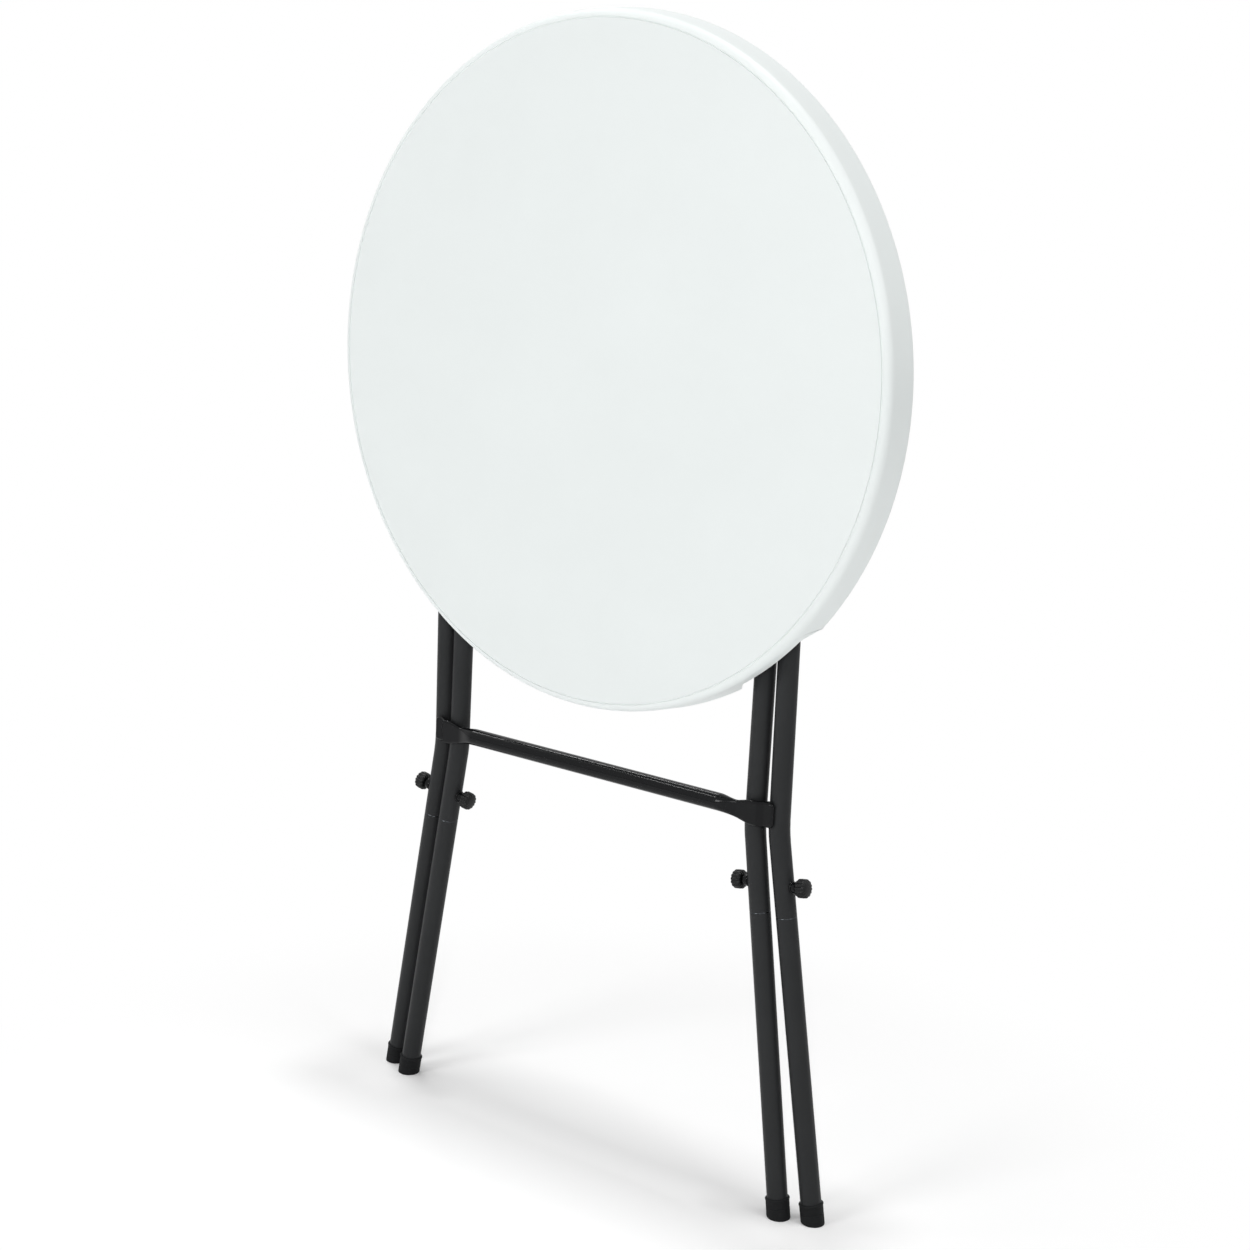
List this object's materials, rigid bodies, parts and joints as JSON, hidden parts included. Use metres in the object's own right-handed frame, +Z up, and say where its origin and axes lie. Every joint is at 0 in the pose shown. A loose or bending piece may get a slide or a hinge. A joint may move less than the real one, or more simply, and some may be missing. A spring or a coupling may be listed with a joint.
{
  "type": "folding cocktail table",
  "caption": "Round white folding cocktail table, folded flat and standing on crossed dark tube legs with removable leg extensions and thumb screws.",
  "frame": {"origin": "middle of the bounding box at floor level", "axes": "+Z up, +Y from the table face to the back of the legs, +X to the right seen from the front"},
  "size_m": [0.812, 0.0754, 1.38],
  "materials": {
    "moulded_hdpe": "satin, fine moulded grain",
    "charcoal_powder_coat": "satin powder coat",
    "black_powder_coat": "semi-gloss powder coat",
    "zinc_plated_steel": "bright zinc",
    "black_rubber": "matte",
    "black_nylon": "satin moulded"
  },
  "bodies": {
    "outer_frame": {"outer_leg_frame": "charcoal_powder_coat", "front_crossbar": "black_powder_coat", "pivot_rivets": "zinc_plated_steel", "pivot_spacers": "black_nylon", "outer_weld_nuts": "black_powder_coat"},
    "inner_frame": {"inner_leg_left": "charcoal_powder_coat", "inner_leg_right": "charcoal_powder_coat", "inner_crossbar": "charcoal_powder_coat", "inner_end_plugs": "black_nylon", "inner_weld_nuts": "black_powder_coat"},
    "top": {"table_top": "moulded_hdpe", "hinge_block_left": "black_nylon", "hinge_block_right": "black_nylon", "hinge_strap_left": "black_powder_coat", "hinge_strap_right": "black_powder_coat", "brace_block_left": "black_nylon", "brace_block_right": "black_nylon", "brace_strap_left": "black_powder_coat", "brace_strap_right": "black_powder_coat", "strap_screws": "zinc_plated_steel"},
    "brace": {"brace_bar": "charcoal_powder_coat", "brace_arm_left": "black_powder_coat", "brace_arm_right": "black_powder_coat", "brace_rivets": "zinc_plated_steel"},
    "leg_outer_left": {"extension_outer_left": "charcoal_powder_coat", "foot_cap_outer_left": "black_rubber"},
    "screw_outer_left": {"stud_outer_left": "zinc_plated_steel"},
    "grip_outer_left": {"knob_outer_left": "black_nylon"},
    "leg_outer_right": {"extension_outer_right": "charcoal_powder_coat", "foot_cap_outer_right": "black_rubber"},
    "screw_outer_right": {"stud_outer_right": "zinc_plated_steel"},
    "grip_outer_right": {"knob_outer_right": "black_nylon"},
    "leg_inner_left": {"extension_inner_left": "charcoal_powder_coat", "foot_cap_inner_left": "black_rubber"},
    "screw_inner_left": {"stud_inner_left": "zinc_plated_steel"},
    "grip_inner_left": {"knob_inner_left": "black_nylon"},
    "leg_inner_right": {"extension_inner_right": "charcoal_powder_coat", "foot_cap_inner_right": "black_rubber"},
    "screw_inner_right": {"stud_inner_right": "zinc_plated_steel"},
    "grip_inner_right": {"knob_inner_right": "black_nylon"}
  },
  "joints": [
    {"name": "top_fold", "type": "hinge", "parent": "outer_frame", "child": "top", "pos_m": [0, 0.01034, 1.14297], "axis": [-1, 0, 0], "range_deg": [0, 65.87]},
    {"name": "legs_open", "type": "hinge", "parent": "outer_frame", "child": "inner_frame", "pos_m": [0, 0.01506, 0.714], "axis": [1, 0, 0], "range_deg": [0, 48.26]},
    {"name": "brace_swing", "type": "hinge", "parent": "top", "child": "brace", "pos_m": [0, 0.01034, 0.80114], "axis": [-1, 0, 0], "range_deg": [0, 64.07]},
    {"name": "pull_outer_left", "type": "slide", "parent": "outer_frame", "child": "leg_outer_left", "axis": [-0.1647, 0.0108, -0.9863], "range_m": [0, 0.075]},
    {"name": "screw_out_outer_left", "type": "slide", "parent": "outer_frame", "child": "screw_outer_left", "axis": [-0.9863, -0.0018, 0.1647], "range_m": [0, 0.003]},
    {"name": "turn_outer_left", "type": "hinge", "parent": "screw_outer_left", "child": "grip_outer_left", "pos_m": [-0.29891, 0.01847, 0.40393], "axis": [-0.9863, -0.0018, 0.1647], "range_deg": [0, 1080]},
    {"name": "pull_outer_right", "type": "slide", "parent": "outer_frame", "child": "leg_outer_right", "axis": [0.1647, 0.0108, -0.9863], "range_m": [0, 0.075]},
    {"name": "screw_out_outer_right", "type": "slide", "parent": "outer_frame", "child": "screw_outer_right", "axis": [0.9863, -0.0018, 0.1647], "range_m": [0, 0.003]},
    {"name": "turn_outer_right", "type": "hinge", "parent": "screw_outer_right", "child": "grip_outer_right", "pos_m": [0.29891, 0.01847, 0.40393], "axis": [0.9863, -0.0018, 0.1647], "range_deg": [0, 1080]},
    {"name": "pull_inner_left", "type": "slide", "parent": "inner_frame", "child": "leg_inner_left", "axis": [-0.1481, -0.0109, -0.9889], "range_m": [0, 0.075]},
    {"name": "screw_out_inner_left", "type": "slide", "parent": "inner_frame", "child": "screw_inner_left", "axis": [0.989, -0.0016, -0.1481], "range_m": [0, 0.003]},
    {"name": "turn_inner_left", "type": "hinge", "parent": "screw_inner_left", "child": "grip_inner_left", "pos_m": [-0.2143, 0.01157, 0.39655], "axis": [0.989, -0.0016, -0.1481], "range_deg": [0, 1080]},
    {"name": "pull_inner_right", "type": "slide", "parent": "inner_frame", "child": "leg_inner_right", "axis": [0.1481, -0.0109, -0.9889], "range_m": [0, 0.075]},
    {"name": "screw_out_inner_right", "type": "slide", "parent": "inner_frame", "child": "screw_inner_right", "axis": [-0.989, -0.0016, -0.1481], "range_m": [0, 0.003]},
    {"name": "turn_inner_right", "type": "hinge", "parent": "screw_inner_right", "child": "grip_inner_right", "pos_m": [0.2143, 0.01157, 0.39655], "axis": [-0.989, -0.0016, -0.1481], "range_deg": [0, 1080]}
  ],
  "couplings": [
    {"joint": "legs_open", "follows": "top_fold", "ratio": 0.73265},
    {"joint": "brace_swing", "follows": "top_fold", "ratio": 0.97249},
    {"joint": "screw_out_outer_left", "follows": "turn_outer_left", "m_per_rad": 0.00015914},
    {"joint": "screw_out_outer_right", "follows": "turn_outer_right", "m_per_rad": 0.00015914},
    {"joint": "screw_out_inner_left", "follows": "turn_inner_left", "m_per_rad": 0.00015914},
    {"joint": "screw_out_inner_right", "follows": "turn_inner_right", "m_per_rad": 0.00015914}
  ]
}
